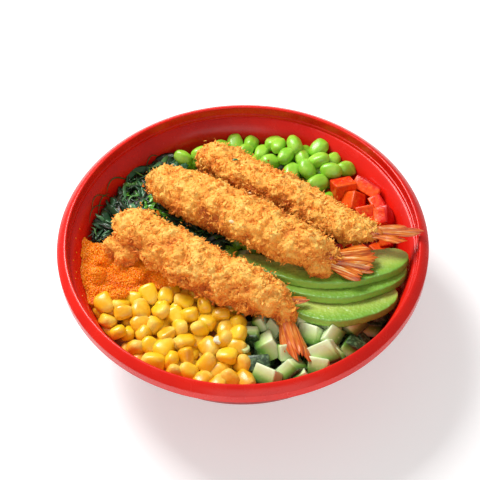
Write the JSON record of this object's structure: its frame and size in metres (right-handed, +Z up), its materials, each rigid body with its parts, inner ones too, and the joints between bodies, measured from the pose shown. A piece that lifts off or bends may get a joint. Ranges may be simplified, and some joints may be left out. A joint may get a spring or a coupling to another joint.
{
  "type": "poke bowl",
  "caption": "Round plastic takeaway bowl filled with salad heaps, fanned avocado slices and breaded shrimps.",
  "frame": {"origin": "centre of the bowl's base, on the surface it stands on", "axes": "+Z up; +X to the right and +Y to the back as the bowl is seen from its corn side; the shrimps' tails point to +X"},
  "size_m": [0.196, 0.196, 0.0754],
  "materials": {
    "bowl_plastic": "satin moulded plastic",
    "corn": "moist kernels",
    "cucumber": "moist cut dice",
    "tomato": "wet cut dice",
    "edamame": "smooth moist beans",
    "seaweed": "wet strands",
    "roe": "fine glossy grains",
    "avocado": "soft cut flesh",
    "crust": "rough fried crumbs"
  },
  "bodies": {
    "root": {"bowl": "bowl_plastic", "corn_heap": "corn", "cucumber_heap": "cucumber", "tomato_heap": "tomato", "edamame_heap": "edamame", "seaweed_heap": "seaweed", "roe_heap": "roe", "avocado_slice_1": "avocado", "avocado_slice_2": "avocado", "avocado_slice_3": "avocado", "shrimp_1": "crust", "shrimp_2": "crust", "shrimp_3": "crust"}
  },
  "joints": []
}
